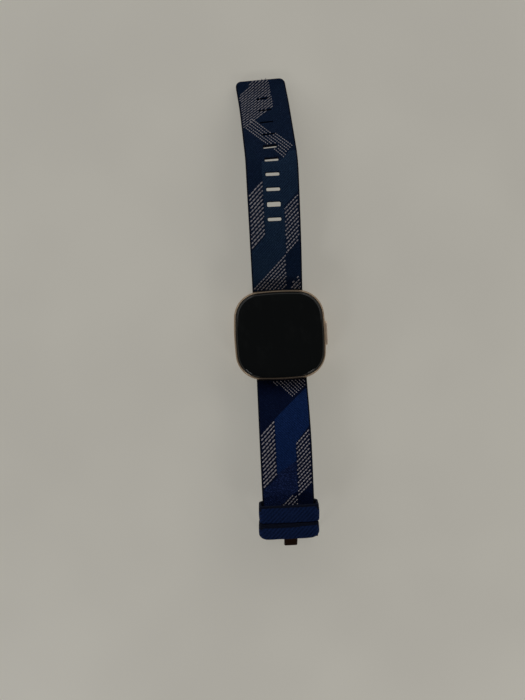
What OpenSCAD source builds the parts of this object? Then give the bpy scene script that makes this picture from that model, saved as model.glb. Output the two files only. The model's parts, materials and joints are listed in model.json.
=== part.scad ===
// Square-faced wrist watch with a satellite receiver and a two-part woven strap.
// +X points to the button, +Y to the slotted tail strap and +Z out of the glass.
// The origin is the middle of the flat on the back, on which the case rests.

/* [Case] */
// Width of the case, from side to side
case_w = 40.4; // [39.6:0.1:41.2]
// Length of the case, between the two straps
case_l = 39.6; // [39:0.1:40.4]
// Height of the top of the metal rim
rim_z = 10.4; // [10.3:0.05:10.6]
// Radius of the corners, seen from above
corner_r = 11.8; // [11:0.1:12.6]
// Radius of the softly bowed sides, seen from above
bow_r = 120; // [100:5:160]
// Thickness of the metal wall
wall = 2; // [1.9:0.05:2.1]

/* [Glass and screen] */
// Distance from the outside of the rim to the edge of the glass
glass_inset = 1.15; // [1.1:0.05:1.3]
// Height of the underside of the glass
glass_z = 10; // [9.95:0.05:10.05]
// Height of the top of the glass
glass_top = 12.1; // [11.9:0.05:12.4]
// Side of the square display panel
screen_w = 32; // [30:0.5:32.5]
// Thickness of the display panel
screen_t = 0.9; // [0.8:0.05:0.95]

/* [Back] */
// Width of the back cover
back_w = 34; // [33.6:0.1:34.4]
// Length of the back cover
back_l = 29.6; // [29.2:0.1:29.8]
// Side of the raised pad that lies on the wrist
pad_w = 25; // [24:0.5:25.5]
// Radius of the clear sensor window
window_r = 5.2; // [5:0.05:5.4]

/* [Button] */
// Length of the side button
button_l = 10.8; // [10:0.2:11.2]
// Height of the side button
button_h = 3.2; // [3:0.1:3.4]
// How far the button stands out of the case
button_out = 0.9; // [0.8:0.05:1]
// Travel of the button
button_travel = 0.4; // [0.3:0.05:0.45]
// Height of the button's middle
button_z = 7.4; // [7.2:0.05:7.5]

/* [Strap] */
// Width of the strap
strap_w = 22.4; // [22:0.1:22.6]
// Thickness of the strap
strap_t = 2.4; // [2.3:0.05:2.5]
// Thickness of the soft lining under the woven face
lining_t = 1; // [0.9:0.05:1.1]
// Distance of each spring bar from the middle of the case
bar_y = 17.6; // [17.5:0.05:17.7]
// Height of the spring bars
bar_z = 3.2; // [3.1:0.05:3.3]
// Width of the recess in the case that takes the strap's end
lug_w = 23.2; // [23.1:0.05:23.4]

/* [Tail strap] */
// Upward angle at which the tail strap leaves the case
tail_angle = 21; // [19:0.5:23]
// Number of slots
slot_count = 10; // [6:1:10]
// Distance from one slot to the next along the strap
slot_pitch = 6.45; // [6.35:0.05:6.5]
// Length of a slot across the strap
slot_l = 5.8; // [5:0.1:6.4]
// Width of a slot along the strap
slot_w = 1.6; // [1.5:0.05:1.8]
// Radius of a slot's corners
slot_corner = 0.5; // [0.3:0.05:0.7]
// How much further back the lining is cut around each slot
slot_relief = 0.75; // [0.5:0.05:0.9]
// Distance of the first slot from the spring bar along the strap
first_slot = 33.9; // [33.4:0.1:34.2]
// Sideways lean of the tip
tip_lean = 5; // [0:0.5:6]
// Radius of the tip's corners
tip_corner = 2.8; // [2:0.1:3.5]

/* [Buckle strap] */
// Upward angle at which the buckle strap leaves the case
buckle_angle = 26; // [25:0.5:26.5]
// Width of the strap keepers
keeper_w = 25.9; // [25.6:0.1:26.2]
// Thickness of a keeper's band
keeper_t = 1.1; // [1:0.05:1.15]
// Space that a keeper leaves above the strap for the tail
keeper_room = 2.7; // [2.6:0.05:3]
// Length of the loose keeper along the strap
free_keeper_l = 7.6; // [7:0.1:7.8]
// Length of the sewn keeper along the strap
sewn_keeper_l = 6.9; // [6.6:0.1:7]

/* [Buckle] */
// Distance from the buckle's bar to the middle of its end bar
frame_l = 10.75; // [10.6:0.05:11.2]
// Thickness of each leg of the frame, measured along the bar
leg_w = 1.1; // [1:0.05:1.15]
// Width of the tang
tang_w = 5.6; // [5:0.1:5.6]
// Length of the tang from the bar
tang_l = 11.6; // [11.5:0.1:12]
// Downward angle at which the tang hangs
tang_angle = 49.6; // [48:0.2:52]

/* [Hidden] */
$fn = 48;

copper = [0.72, 0.5, 0.42];
gold = [0.83, 0.66, 0.34];
steel = [0.7, 0.7, 0.72];
navy = [0.05, 0.1, 0.25];
lining_blue = [0.03, 0.05, 0.12];
dark = [0.06, 0.06, 0.07];
clear = [0.12, 0.13, 0.15];
board_green = [0.05, 0.25, 0.15];
amber = [0.75, 0.45, 0.15];

tiny = 0.01;        // how far a cutter runs past a face
fit = 0.05;         // clearance of a running or sliding fit
loose = 0.3;        // clearance between parts that never touch

// Straps: each path is a run of [length, turn in degrees] stretches from the spring bar
half_t = strap_t / 2;
split_n = lining_t - half_t;            // height of the joint between lining and face
flex_gap = 0.1;                         // clearance of the round joint between two segments
flex_lip = 0.75;                        // where a segment starts beyond its joint
round_steps = 8;                        // straight pieces in one layer's share of a round end
ribbon_step = 1.6;                      // longest straight piece in a curved strap
rise_bends = [[13, 0], [22, -19], [16, 0], [12, -19]];
tail_start = [bar_y, bar_z, tail_angle];
hump = along(tail_start, rise_bends, total(rise_bends));
land_l = 6;                             // length over which the tail lays itself flat
land_drop = land_l / (-hump[2] * PI / 180) * (1 - cos(hump[2]));
fall_l = (hump[1] - half_t - land_drop) / sin(-hump[2]);
flat_l = 1;                             // length of the tip that lies flat
tail_bends = concat(rise_bends, [[fall_l, 0], [land_l, -hump[2]], [flat_l, 0]]);
tail_path = [tail_start, tail_bends];
tail_l = total(tail_bends);
buckle_bends = [[14, 0], [26, -31], [32.2, 0]];
buckle_path = [[bar_y, bar_z, buckle_angle], buckle_bends];
buckle_l = total(buckle_bends);

fitting_l = 3.2;                                    // length of the moulded end fitting
tail_joint_1 = first_slot - slot_pitch / 2;         // where the tail strap flexes first
tail_joint_2 = first_slot + 4.5 * slot_pitch;       // where it flexes next
buckle_joint = 34;                                  // where the buckle strap flexes

// Spring bars
tube_r = 0.78;
tube_bore_r = 0.62;
tube_half_l = 10.6;
pin_r = tube_bore_r - fit;
tip_r = 0.42;
tip_end = 12.6;
release_travel = 1.2;
pin_x = 5.8;            // inner end of the release pin
pin_step_x = 11;        // where it steps down to its tip
lever_x = 8.4;
lever_r = 0.42;
lever_l = half_t + 0.4;
spring_wire = 0.09;
spring_x0 = -9.6;
spring_x1 = 4.3;        // clear of the pin over its whole travel
spring_turns = 7;

// Levels of the inside of the case
lug_roof_z = 6.3;
lug_wall_y = 16;
cavity_z = 6.9;                 // floor of the wide upper cavity
back_z = 1;                     // underside of the back cover's rim
back_top = 2;
ledge_z = 2.3;                  // ledge that the back seal presses on
lower_w = back_w - 1.6;
lower_l = back_l - 1.6;
boss_x = 13.6;
boss_y = 11.2;
boss_r = 1.9;
screw_r = 0.5;
screw_head_r = 1;
contact_r = 0.85;
contact_y = 9.3;
contact_pitch = 3;
battery_w = 22;
battery_l = 18;
battery_x = -3.2;
battery_z = 2.9;
battery_top = 6.7;
motor_x = 12;
motor_y = -3.6;
motor_r = 3.7;
motor_top = 5.5;
antenna_w = 12;
antenna_l = 6;
antenna_y = 10.5;
board_z = 7;
board_t = 0.7;
screen_z = glass_z - screen_t - tiny;
gasket_w = 0.7;
gasket_t = 0.25;

// Button
stem_r = 0.8;
button_x = case_w / 2 + button_out;
button_cap_t = button_out + 0.3;
stem_end_x = 16.9;
clip_r = 1.5;
pocket_x = button_x - button_cap_t - button_travel - 0.15;
inner_wall_x = case_w / 2 - wall;

// Keepers and buckle
keeper_in_w = keeper_w - 2 * keeper_t;
keeper_round = 1.9;                 // outer corners of a keeper, seen along the strap
sewn_corner = 2.4;                  // corners of the sewn keeper, seen from above
sewn_end = buckle_l - 0.2;
sewn_start = sewn_end - sewn_keeper_l;
free_start = sewn_start - loose - free_keeper_l;
bar_r = 0.7;
knuckle_r = 1.15;
end_bar_r = 0.9;
frame_in_w = strap_w + 0.4;
frame_w = frame_in_w + 2 * leg_w;
buckle_end = along(buckle_path[0], buckle_bends, buckle_l);
frame_angle = asin((buckle_end[1] - end_bar_r) / frame_l);
tang_slot_w = tang_w + 0.8;
tang_half_t = 0.55;
leg_half_t = 0.8;

// ---- paths ----

function total(bends, i = 0) = i == len(bends) ? 0 : bends[i][0] + total(bends, i + 1);

// A place on a path is [y, z, heading]; a stretch turns evenly over its length
function advance(p, stretch, s) =
    stretch[1] == 0
    ? [p[0] + s * cos(p[2]), p[1] + s * sin(p[2]), p[2]]
    : let (r = stretch[0] / (stretch[1] * PI / 180), a = p[2] + stretch[1] * s / stretch[0])
      [p[0] + r * (sin(a) - sin(p[2])), p[1] - r * (cos(a) - cos(p[2])), a];

function along(p, bends, s, i = 0) =
    i == len(bends) - 1 || s <= bends[i][0]
    ? advance(p, bends[i], s)
    : along(advance(p, bends[i], bends[i][0]), bends, s - bends[i][0], i + 1);

function place(path, s) = along(path[0], path[1], s);

function beside(p, n) = [p[0] - n * sin(p[2]), p[1] + n * cos(p[2])];

// ---- outlines ----

// Rounded square with bowed sides: x, y of one quarter, then turned four times.
// The side arc and the corner arc meet where both point the same way.
function quarter(a, r, big) =
    let (turn = 45 - asin((big - a) / (sqrt(2) * (big - r))), c = (big - r) * sin(turn))
    concat([[a, 0], [a - big + big * cos(turn / 2), big * sin(turn / 2)]],
           [for (i = [0 : 8]) let (t = turn + (90 - 2 * turn) * i / 8) [c + r * cos(t), c + r * sin(t)]],
           [[big * sin(turn / 2), a - big + big * cos(turn / 2)]]);

function turned(p, k) = k == 0 ? p : turned([-p[1], p[0]], k - 1);

function soft_square(inset) =
    [for (k = [0 : 3]) for (p = quarter(case_w / 2 - inset, corner_r - inset, bow_r - inset))
        let (q = turned(p, k)) [q[0], q[1] * case_l / case_w]];

// Solid through a stack of [height, inset] outlines
module stacked(levels) {
    n = len(soft_square(0));
    points = [for (l = levels) for (p = soft_square(l[1])) [p[0], p[1], l[0]]];
    sides = [for (k = [0 : len(levels) - 2]) for (i = [0 : n - 1])
        [k * n + i, (k + 1) * n + i, (k + 1) * n + (i + 1) % n, k * n + (i + 1) % n]];
    bottom = [for (i = [0 : n - 1]) i];
    top = [for (i = [n - 1 : -1 : 0]) (len(levels) - 1) * n + i];
    polyhedron(points = points, faces = concat(sides, [bottom, top]));
}

module soft_plate(inset, z0, z1) {
    translate([0, 0, z0]) linear_extrude(height = z1 - z0) polygon(soft_square(inset));
}

module round_rect(w, h, r) {
    square([w - 2 * r, h], center = true);
    square([w, h - 2 * r], center = true);
    for (x = [-1, 1], y = [-1, 1]) {
        translate([x * (w / 2 - r), y * (h / 2 - r)]) circle(r = r);
    }
}

module round_plate(w, l, r, z0, z1) {
    translate([0, 0, z0]) linear_extrude(height = z1 - z0) round_rect(w, l, r);
}

module block(x0, x1, y0, y1, z0, z1) {
    translate([x0, y0, z0]) cube([x1 - x0, y1 - y0, z1 - z0]);
}

module x_rod(r, x0, x1) {
    translate([x0, 0, 0]) rotate([0, 90, 0]) cylinder(r = r, h = x1 - x0);
}

module z_rod(r, z0, z1) {
    translate([0, 0, z0]) cylinder(r = r, h = z1 - z0);
}

module at_corners(x, y) {
    for (sx = [-1, 1], sy = [-1, 1]) {
        translate([sx * x, sy * y, 0]) children();
    }
}

module at_contacts() {
    for (i = [-1.5 : 1 : 1.5]) {
        translate([i * contact_pitch, -contact_y, 0]) children();
    }
}

// ---- strap building blocks ----

module across(w) {
    rotate([90, 0, 90]) linear_extrude(height = w, center = true) children();
}

module on_path(p) {
    translate([0, p[0], p[1]]) rotate([p[2], 0, 0]) children();
}

// The part between n0 and n1 of the half circle that rounds off a strap at the place p,
// in the direction of the path if way is 1 and against it if way is -1
function half_round(p, n0, n1, way) =
    [for (i = [0 : round_steps])
        let (a = asin(n0 / half_t) + (asin(n1 / half_t) - asin(n0 / half_t)) * i / round_steps)
        if (cos(a) > tiny) beside(advance(p, [1, 0], way * half_t * cos(a)), half_t * sin(a))];

// One layer of a strap from s0 to s1, with a round end at either or both
module ribbon(path, s0, s1, n0, n1, round_start = false, round_end = false) {
    steps = ceil((s1 - s0) / ribbon_step);
    spots = [for (i = [0 : steps]) place(path, s0 + (s1 - s0) * i / steps)];
    across(strap_w) polygon(concat(
        [for (i = [0 : steps]) beside(spots[i], n0)],
        round_end ? half_round(spots[steps], n0, n1, 1) : [],
        [for (i = [steps : -1 : 0]) beside(spots[i], n1)],
        round_start ? half_round(spots[0], n1, n0, -1) : []));
}

// One layer of a strap segment that starts in a socket, which turns about the round end
// of the segment before it
module socket_ribbon(path, s0, s1, n0, n1, round_end) {
    difference() {
        ribbon(path, s0 + flex_lip, s1, n0, n1, false, round_end);
        on_path(place(path, s0)) x_rod(half_t + flex_gap, -strap_w, strap_w);
    }
}

// Cutters of some slots, each larger by grow on every side
module slots(first, last, grow) {
    for (i = [first : last]) {
        on_path(place(tail_path, first_slot + i * slot_pitch)) {
            linear_extrude(height = 2 * strap_t, center = true) {
                round_rect(slot_l + 2 * grow, slot_w + 2 * grow, slot_corner + grow);
            }
        }
    }
}

module buckle_side() {
    mirror([0, 1, 0]) children();
}

module end_fitting(path) {
    bar = path[0];
    difference() {
        ribbon(path, 0, fitting_l, -half_t, half_t, true, false);
        on_path(bar) x_rod(tube_r + tiny, -strap_w, strap_w);
        on_path(bar) block(lever_x - lever_r - release_travel - fit, lever_x + lever_r + fit,
                           -lever_r - fit, lever_r + fit, -strap_t, 0);
    }
}

module bar_tube(bar) {
    difference() {
        on_path(bar) x_rod(tube_r, -tube_half_l, tube_half_l);
        on_path(bar) x_rod(tube_bore_r, -tube_half_l + 0.6, strap_w);
        on_path(bar) block(lever_x - lever_r - release_travel - fit, lever_x + lever_r + fit,
                           -lever_r - fit, lever_r + fit, -strap_t, 0);
    }
}

module bar_tip(bar) {
    on_path(bar) x_rod(tip_r, -tip_end, -tube_half_l);
}

module release_pin(bar) {
    on_path(bar) {
        x_rod(pin_r, pin_x, pin_step_x);
        x_rod(tip_r, pin_step_x, tip_end);
        translate([lever_x, 0, -lever_l]) cylinder(r = lever_r, h = lever_l);
    }
}

// Coil spring along X as one swept tube of six sides
module coil(r, wire, x0, x1, turns) {
    per_turn = 10;
    sides = 6;
    rings = turns * per_turn;
    points = [for (i = [0 : rings]) for (j = [0 : sides - 1])
        let (a = 360 * i / per_turn, b = 360 * j / sides, rr = r + wire * cos(b))
        [x0 + (x1 - x0) * i / rings + wire * sin(b), rr * cos(a), rr * sin(a)]];
    skin = [for (i = [0 : rings - 1]) for (j = [0 : sides - 1])
        let (k = (j + 1) % sides)
        each [[i * sides + j, i * sides + k, (i + 1) * sides + j],
              [i * sides + k, (i + 1) * sides + k, (i + 1) * sides + j]]];
    first = [for (j = [sides - 1 : -1 : 0]) j];
    last = [for (j = [0 : sides - 1]) rings * sides + j];
    polyhedron(points = points, faces = concat(skin, [first, last]));
}

module bar_spring(bar) {
    on_path(bar) coil(tube_bore_r - spring_wire - fit, spring_wire, spring_x0, spring_x1, spring_turns);
}

// ---- case ----

module case_body() color(copper) {
    difference() {
        stacked([[1.2, 2.6], [2.2, 1.2], [3.8, 0.3], [5.6, 0], [8.8, 0], [9.8, 0.25], [rim_z, 0.7]]);
        soft_plate(wall, cavity_z, glass_z - gasket_t);
        soft_plate(glass_inset + gasket_w, cavity_z, glass_z);
        soft_plate(glass_inset - fit, glass_z - gasket_t, rim_z + 1);
        difference() {
            round_plate(lower_w, lower_l, 6, ledge_z, cavity_z + tiny);
            at_corners(boss_x, boss_y) z_rod(boss_r, ledge_z, 5.6);
        }
        round_plate(back_w + 2 * fit, back_l + 2 * fit, 6.8, 0, ledge_z);
        at_corners(boss_x, boss_y) z_rod(screw_r, 2, 5);
        for (side = [0, 1]) mirror([0, side, 0]) {
            block(-lug_w / 2, lug_w / 2, lug_wall_y, case_l, 0, lug_roof_z);
            translate([0, bar_y, bar_z]) x_rod(tip_r + fit, -tip_end - 0.4, tip_end + 0.4);
        }
        translate([0, 0, button_z]) {
            x_rod(stem_r + fit, inner_wall_x - 1, case_w);
            block(lower_w / 2 - 1, inner_wall_x, -clip_r - loose, clip_r + loose, -clip_r - loose, 0);
            translate([pocket_x, 0, 0]) button_pill(button_l + 0.2, button_h + 0.2, case_w);
        }
    }
}

module cover_glass() color(dark) {
    stacked([[glass_z, glass_inset], [glass_z + 0.7, glass_inset], [glass_z + 1.25, glass_inset + 0.3],
             [glass_z + 1.7, glass_inset + 1], [glass_z + 1.95, glass_inset + 2.1],
             [glass_top, glass_inset + 4]]);
}

module glass_gasket() color("black") {
    difference() {
        soft_plate(glass_inset + fit, glass_z - gasket_t, glass_z);
        soft_plate(glass_inset + gasket_w, 0, rim_z);
    }
}

module display_module() color([0.02, 0.02, 0.03]) {
    round_plate(screen_w, screen_w, 5, screen_z, glass_z - tiny);
}

module display_flex() color(amber) {
    block(-5, 5, -13, -12.4, board_z + board_t, screen_z);
    block(-5, 5, -12.4, -9, screen_z - 0.15, screen_z);
    block(-5, 5, -15, -13, board_z + board_t, board_z + board_t + 0.15);
}

module inner_frame() color([0.15, 0.15, 0.16]) {
    difference() {
        soft_plate(wall + 0.1, board_z + board_t, screen_z);
        round_plate(31, 31, 5, 0, 20);
        block(15.5, 20, -3, 3, 0, 20);
    }
}

module main_board() color(board_green) {
    difference() {
        soft_plate(wall + 0.4, board_z, board_z + board_t);
        block(13, 20, -3.2, 3.2, 0, 20);
    }
}

module board_chips() color([0.1, 0.1, 0.11]) {
    top = board_z + board_t;
    block(-6, 3, -6, 3, top, top + 1);
    block(5, 11, -9, -4, top, top + 0.8);
    block(-14, -8, -4, 6, top, top + 0.9);
    block(-13, -9, -11, -7, top, top + 0.6);
}

module gps_antenna() color([0.85, 0.82, 0.74]) {
    block(-antenna_w / 2, antenna_w / 2, antenna_y - antenna_l / 2, antenna_y + antenna_l / 2,
          board_z + board_t, screen_z - 0.15);
}

module battery() color([0.55, 0.56, 0.58]) {
    translate([battery_x, 0, 0]) round_plate(battery_w, battery_l, 1.5, battery_z, battery_top);
}

module vibration_motor() color(steel) {
    translate([motor_x, motor_y, 0]) z_rod(motor_r, battery_z, motor_top);
}

module sensor_board() color(board_green) {
    z_rod(6.2, 2.1, 2.7);
}

module sensor_leds() color([0.5, 0.8, 0.5]) {
    for (a = [0 : 120 : 240]) {
        rotate([0, 0, a]) block(1.6, 3.2, -0.8, 0.8, 1.2, 2.1);
    }
    block(-0.7, 0.7, -0.7, 0.7, 1.3, 2.1);
}

module sensor_window() color(clear) {
    z_rod(window_r, 0, 0.9);
}

module charging_contacts() color(gold) {
    at_contacts() z_rod(contact_r, 0.08, 2.6);
}

module back_cover() color([0.1, 0.1, 0.11]) {
    difference() {
        union() {
            round_plate(back_w, back_l, 6.8, back_z, back_top);
            round_plate(pad_w, pad_w, 6, 0, back_z + tiny);
        }
        z_rod(window_r + fit, -1, 3);
        z_rod(window_r + 1.2, 0.95, 3);
        at_contacts() z_rod(contact_r + fit, -1, 3);
        at_corners(boss_x, boss_y) {
            z_rod(screw_r + 0.1, 0, 3);
            z_rod(screw_head_r + 0.1, -1, back_z + 0.5);
        }
    }
}

module back_seal() color("black") {
    difference() {
        round_plate(back_w - 0.1, back_l - 0.1, 6.7, back_top, ledge_z);
        round_plate(lower_w + 0.4, lower_l + 0.4, 6.2, 0, 3);
    }
}

module back_screws() color(steel) {
    at_corners(boss_x, boss_y) {
        difference() {
            union() {
                z_rod(screw_head_r, back_z + 0.1, back_z + 0.5);
                z_rod(screw_r - 0.05, back_z + 0.4, 4.6);
            }
            z_rod(0.45, back_z, back_z + 0.3, $fn = 6);
        }
    }
}

// ---- button ----

// A pill lying along Y, from the origin outwards along X
module button_pill(l, h, depth) {
    rotate([90, 0, 90]) linear_extrude(height = depth) {
        square([l - h, h], center = true);
        for (y = [-1, 1]) {
            translate([y * (l - h) / 2, 0]) circle(r = h / 2);
        }
    }
}

module side_button() color(copper) {
    translate([0, 0, button_z]) {
        translate([button_x - button_cap_t, 0, 0]) button_pill(button_l, button_h, button_cap_t);
        difference() {
            x_rod(stem_r, stem_end_x, button_x - button_cap_t + tiny);
            difference() {
                x_rod(2, pocket_x - 0.75, pocket_x - 0.4);
                x_rod(0.56, 0, button_x);
            }
            difference() {
                x_rod(2, stem_end_x + 0.4, stem_end_x + 0.8);
                x_rod(0.56, 0, button_x);
            }
        }
    }
}

module button_seal() color("black") {
    translate([pocket_x - 0.575, 0, button_z]) rotate([0, 90, 0]) rotate_extrude() {
        translate([0.71, 0]) circle(r = 0.13, $fn = 24);
    }
}

module button_clip() color(steel) {
    translate([stem_end_x + 0.45, 0, button_z]) difference() {
        x_rod(clip_r, 0, 0.3);
        x_rod(0.58, -1, 1);
        block(-1, 1, -0.5, 0.5, -2, 0);
    }
}

module button_switch() color([0.2, 0.2, 0.21]) {
    difference() {
        block(13.4, 15.9, -2.4, 2.4, button_z - 1.3, button_z + 1.2);
        translate([0, 0, button_z]) x_rod(0.65, 14.6, 20);
    }
}

module switch_plunger() color("white") {
    translate([0, 0, button_z]) x_rod(0.6, 15.2, stem_end_x);
}

// ---- tail strap ----

module tail_end_fitting() color(dark) {
    end_fitting(tail_path);
}

module tail_bar_tube() color(steel) {
    bar_tube(tail_path[0]);
}

module tail_bar_tip() color(steel) {
    bar_tip(tail_path[0]);
}

module tail_bar_spring() color(steel) {
    bar_spring(tail_path[0]);
}

module tail_release_pin() color(steel) {
    release_pin(tail_path[0]);
}

module tail_root_face() color(navy) {
    ribbon(tail_path, fitting_l, tail_joint_1, split_n, half_t, false, true);
}

module tail_root_lining() color(lining_blue) {
    ribbon(tail_path, fitting_l, tail_joint_1, -half_t, split_n, false, true);
}

module tail_middle(n0, n1, grow) {
    difference() {
        socket_ribbon(tail_path, tail_joint_1, tail_joint_2, n0, n1, true);
        slots(0, 4, grow);
    }
}

module tail_middle_face() color(navy) {
    tail_middle(split_n, half_t, 0);
}

module tail_middle_lining() color(lining_blue) {
    tail_middle(-half_t, split_n, slot_relief);
}

module leaning() {
    y = place(tail_path, tail_joint_2)[0];
    translate([0, y, 0]) rotate([0, 0, tip_lean]) translate([0, -y, 0]) children();
}

// What rounding takes off the tip's two corners
module tip_trim() {
    tip = place(tail_path, tail_l);
    for (side = [0, 1]) mirror([side, 0, 0]) {
        translate([strap_w / 2 - tip_corner, tip[0] - tip_corner, tip[1]]) difference() {
            block(0, 2 * tip_corner, 0, 2 * tip_corner, -strap_t, strap_t);
            z_rod(tip_corner, -2 * strap_t, 2 * strap_t);
        }
    }
}

// The whole tip leans, but its socket stays square to the segment before it
module tail_tip(n0, n1, grow) {
    difference() {
        leaning() difference() {
            ribbon(tail_path, tail_joint_2 - 1, tail_l, n0, n1);
            slots(5, slot_count - 1, grow);
            tip_trim();
        }
        on_path(place(tail_path, tail_joint_2)) {
            block(-strap_w, strap_w, -3 * strap_t, flex_lip, -strap_t, strap_t);
            x_rod(half_t + flex_gap, -strap_w, strap_w);
        }
    }
}

module tail_tip_face() color(navy) {
    tail_tip(split_n, half_t, 0);
}

module tail_tip_lining() color(lining_blue) {
    tail_tip(-half_t, split_n, slot_relief);
}

// ---- buckle strap ----

module buckle_end_fitting() color(dark) {
    buckle_side() end_fitting(buckle_path);
}

module buckle_bar_tube() color(steel) {
    buckle_side() bar_tube(buckle_path[0]);
}

module buckle_bar_tip() color(steel) {
    buckle_side() bar_tip(buckle_path[0]);
}

module buckle_bar_spring() color(steel) {
    buckle_side() bar_spring(buckle_path[0]);
}

module buckle_release_pin() color(steel) {
    buckle_side() release_pin(buckle_path[0]);
}

module buckle_root_face() color(navy) {
    buckle_side() ribbon(buckle_path, fitting_l, buckle_joint, split_n, half_t, false, true);
}

module buckle_root_lining() color(lining_blue) {
    buckle_side() ribbon(buckle_path, fitting_l, buckle_joint, -half_t, split_n, false, true);
}

// The end wraps the buckle's bar and is notched for the tang
module buckle_strap_end(n0, n1) {
    buckle_side() difference() {
        socket_ribbon(buckle_path, buckle_joint, buckle_l, n0, n1, true);
        on_path(buckle_end) x_rod(bar_r + tiny, -strap_w, strap_w);
        on_path(buckle_end) block(-tang_slot_w / 2, tang_slot_w / 2, -knuckle_r - loose, strap_t,
                                  -strap_t, strap_t);
    }
}

module buckle_end_face() color(navy) {
    buckle_strap_end(split_n, half_t);
}

module buckle_end_lining() color(lining_blue) {
    buckle_strap_end(-half_t, split_n);
}

// A band round the strap, from y = 0 along the strap; low and high are its inner faces
module keeper(l, low, high) {
    h = high - low;
    translate([0, l, (low + high) / 2]) rotate([90, 0, 0]) linear_extrude(height = l) difference() {
        round_rect(keeper_w, h + 2 * keeper_t, keeper_round);
        round_rect(keeper_in_w, h, keeper_round - keeper_t + 0.1);
    }
}

module sewn_keeper() color(navy) {
    wall_stop = sewn_keeper_l - 1.3;
    buckle_side() on_path(place(buckle_path, sewn_start)) difference() {
        keeper(sewn_keeper_l, -half_t, half_t + keeper_room);
        block(-keeper_w, keeper_w, wall_stop, 2 * sewn_keeper_l, -3 * strap_t,
              half_t + keeper_room - 0.9);
        for (side = [0, 1]) mirror([side, 0, 0]) {
            translate([keeper_w / 2 - sewn_corner, sewn_keeper_l - sewn_corner, 0]) difference() {
                block(0, 2 * sewn_corner, 0, 2 * sewn_corner, 2, 9);
                z_rod(sewn_corner, 0, 12);
            }
        }
    }
}

module free_keeper() color(navy) {
    buckle_side() on_path(place(buckle_path, free_start)) {
        keeper(free_keeper_l, -half_t - loose, half_t + keeper_room);
    }
}

// ---- buckle ----

module buckle_bar() color(steel) {
    buckle_side() on_path(buckle_end) x_rod(bar_r, -frame_w / 2 + 0.2, frame_w / 2 - 0.2);
}

module buckle_frame() color(copper) {
    buckle_side() on_path([buckle_end[0], buckle_end[1], -frame_angle]) {
        difference() {
            union() {
                for (side = [0, 1]) mirror([side, 0, 0]) {
                    x_rod(knuckle_r, frame_in_w / 2, frame_w / 2);
                    block(frame_in_w / 2, frame_w / 2, 0, frame_l, -leg_half_t, leg_half_t);
                }
                translate([0, frame_l, 0]) x_rod(end_bar_r, -frame_w / 2, frame_w / 2);
            }
            x_rod(bar_r + fit, -frame_w / 2 + 0.15, frame_w / 2 - 0.15);
        }
    }
}

module buckle_tang() color(copper) {
    buckle_side() on_path([buckle_end[0], buckle_end[1], -tang_angle]) {
        difference() {
            union() {
                x_rod(knuckle_r, -tang_w / 2, tang_w / 2);
                block(-tang_w / 2, tang_w / 2, 0, tang_l - tang_half_t, -tang_half_t, tang_half_t);
                translate([0, tang_l - tang_half_t, 0]) x_rod(tang_half_t, -tang_w / 2, tang_w / 2);
            }
            x_rod(bar_r + fit, -tang_w, tang_w);
        }
    }
}

case_body();
cover_glass();
glass_gasket();
display_module();
display_flex();
inner_frame();
main_board();
board_chips();
gps_antenna();
battery();
vibration_motor();
sensor_board();
sensor_leds();
sensor_window();
charging_contacts();
back_cover();
back_seal();
back_screws();
button_switch();
switch_plunger();
side_button();
button_seal();
button_clip();
tail_end_fitting();
tail_bar_tube();
tail_bar_tip();
tail_bar_spring();
tail_release_pin();
tail_root_face();
tail_root_lining();
tail_middle_face();
tail_middle_lining();
tail_tip_face();
tail_tip_lining();
buckle_end_fitting();
buckle_bar_tube();
buckle_bar_tip();
buckle_bar_spring();
buckle_release_pin();
buckle_root_face();
buckle_root_lining();
buckle_end_face();
buckle_end_lining();
sewn_keeper();
free_keeper();
buckle_bar();
buckle_frame();
buckle_tang();
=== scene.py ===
"""Looks of a square GPS watch with a woven two-part strap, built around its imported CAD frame."""

import contextlib
import json
import math
import random

import bmesh
import bpy
import numpy as np
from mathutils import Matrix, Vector


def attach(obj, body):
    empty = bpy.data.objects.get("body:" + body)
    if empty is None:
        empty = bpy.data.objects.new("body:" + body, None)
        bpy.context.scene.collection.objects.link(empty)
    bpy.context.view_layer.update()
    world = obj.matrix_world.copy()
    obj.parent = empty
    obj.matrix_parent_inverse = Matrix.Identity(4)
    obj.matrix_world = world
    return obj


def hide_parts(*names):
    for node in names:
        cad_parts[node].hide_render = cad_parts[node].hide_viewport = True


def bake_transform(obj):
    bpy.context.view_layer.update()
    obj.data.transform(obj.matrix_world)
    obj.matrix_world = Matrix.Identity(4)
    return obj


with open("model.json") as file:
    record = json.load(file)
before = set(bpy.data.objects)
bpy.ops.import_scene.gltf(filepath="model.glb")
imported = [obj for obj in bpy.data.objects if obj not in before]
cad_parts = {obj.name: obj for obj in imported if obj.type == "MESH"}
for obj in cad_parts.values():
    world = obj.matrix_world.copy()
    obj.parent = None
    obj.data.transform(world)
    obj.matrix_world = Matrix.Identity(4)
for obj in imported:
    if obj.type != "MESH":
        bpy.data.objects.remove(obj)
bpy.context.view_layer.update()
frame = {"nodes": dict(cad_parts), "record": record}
random.seed(7)

MM = 0.001
scene = bpy.context.scene

# -------- sizes, in mm: the CAD's, except at the slots, the tip, and the buckle's frame and tang

CASE_W, CASE_L = 40.4, 39.6
CORNER_R, BOW_R = 11.8, 120.0
RIM_Z, GLASS_Z, GLASS_TOP = 10.4, 10.0, 12.1
LUG_W, LUG_Y, LUG_ROOF, LUG_CORNER = 23.2, 16.0, 6.3, 0.7
BACK_W, BACK_L, BACK_CORNER, BACK_TOP = 34.1, 29.7, 6.8, 2.3
BUTTON_Z, BUTTON_L, BUTTON_H, BUTTON_OUT = 7.4, 10.8, 3.2, 0.9
POCKET_X, POCKET_ROOM = 19.35, 0.1  # where the button's pocket starts, and its room round the button

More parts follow.
